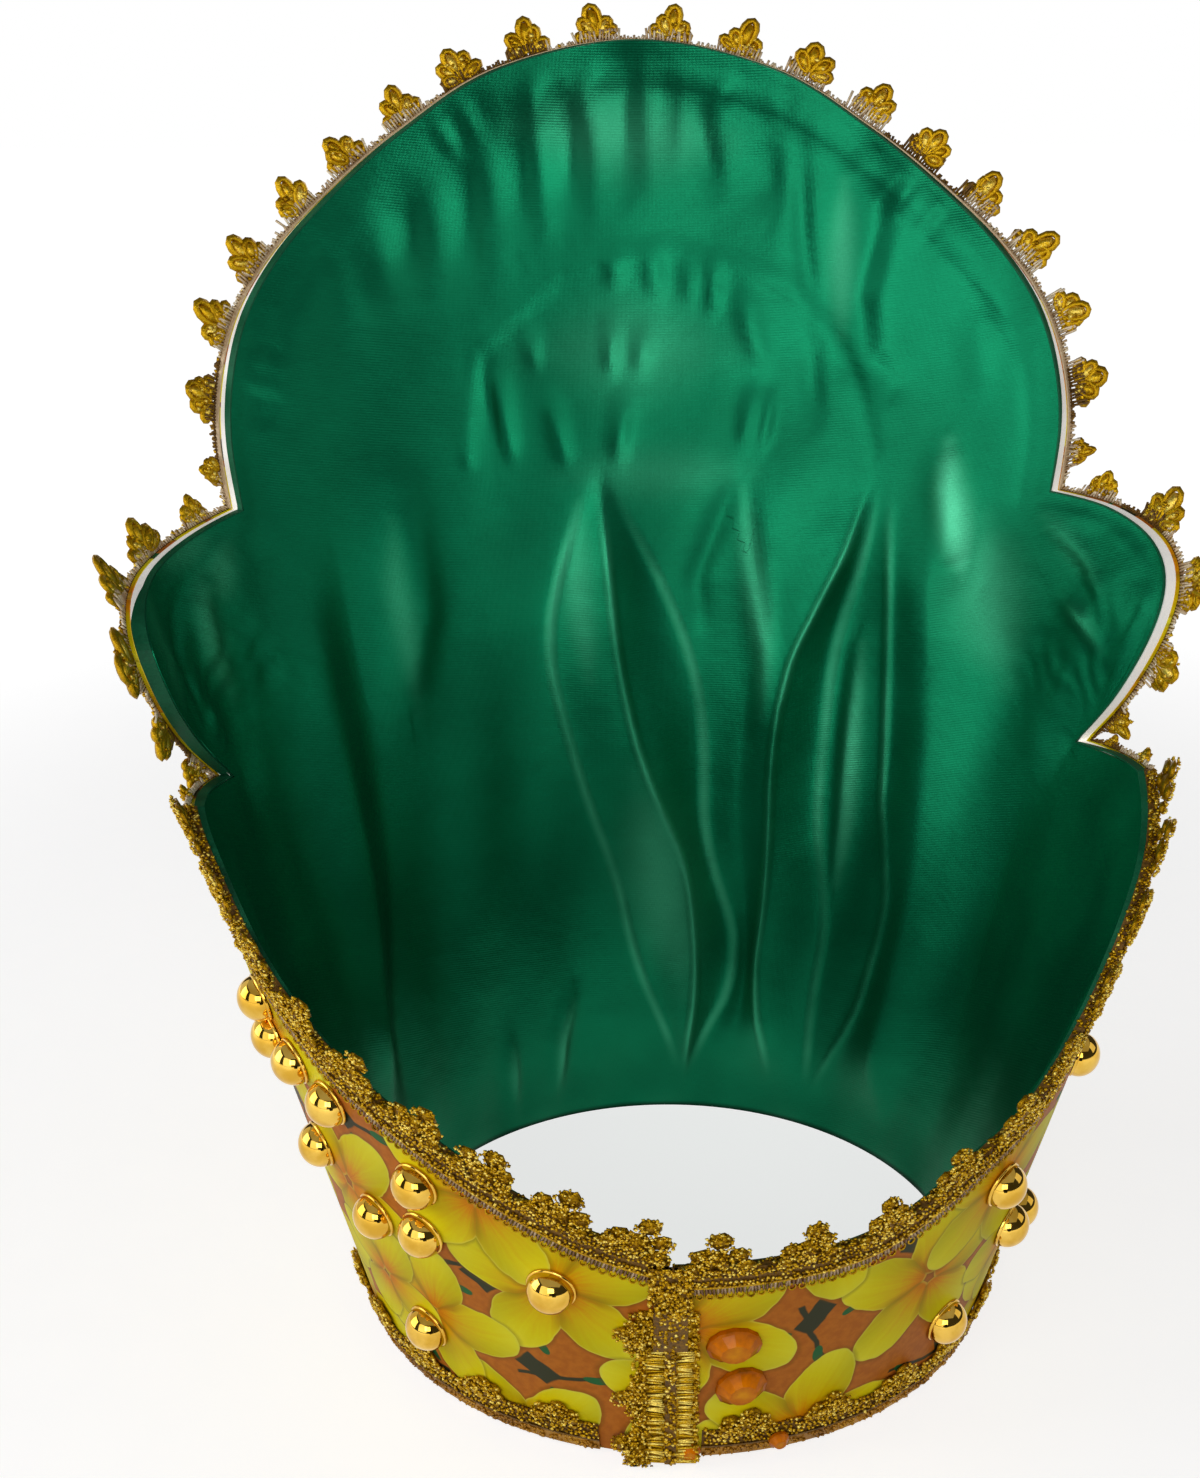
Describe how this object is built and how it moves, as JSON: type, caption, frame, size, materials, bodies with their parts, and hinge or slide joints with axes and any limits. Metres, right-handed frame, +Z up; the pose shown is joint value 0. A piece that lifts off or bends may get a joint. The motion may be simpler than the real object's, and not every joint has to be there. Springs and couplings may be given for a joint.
{
  "type": "ceremonial crown",
  "caption": "Tall ceremonial crown: flared card ring with an arched, lobed front, green satin lining, printed floral cover, gold lace edging, domed gold studs and orange stones.",
  "frame": {"origin": "centre of the bounding box, on the floor plane under the card's bottom edge", "axes": "+Z up, +Y towards the tall front panel, +X towards the wearer's right as seen from behind; the seam is at the back, near -Y"},
  "size_m": [0.3167, 0.2417, 0.3807],
  "materials": {
    "card": "matte white card, seen at the edges",
    "satin": "glossy green satin with gathers",
    "print": "smooth printed cloth, yellow flowers on terracotta",
    "gold_lace": "metallic gold thread lace",
    "gold_stud": "polished mirror gold",
    "orange_stone": "clear faceted orange"
  },
  "bodies": {
    "root": {"card_stiffener": "card", "satin_lining": "satin", "printed_cover": "print", "top_lace": "gold_lace", "bottom_lace": "gold_lace", "seam_lace": "gold_lace", "stud_01": "gold_stud", "stud_02": "gold_stud", "stud_03": "gold_stud", "stud_04": "gold_stud", "stud_05": "gold_stud", "stud_06": "gold_stud", "stud_07": "gold_stud", "stud_08": "gold_stud", "stud_09": "gold_stud", "stud_10": "gold_stud", "stud_11": "gold_stud", "stud_12": "gold_stud", "stud_13": "gold_stud", "stud_14": "gold_stud", "stud_15": "gold_stud", "stone_upper": "orange_stone", "stone_lower": "orange_stone", "stone_small_orange": "orange_stone", "stone_small_amber": "orange_stone"}
  },
  "joints": []
}
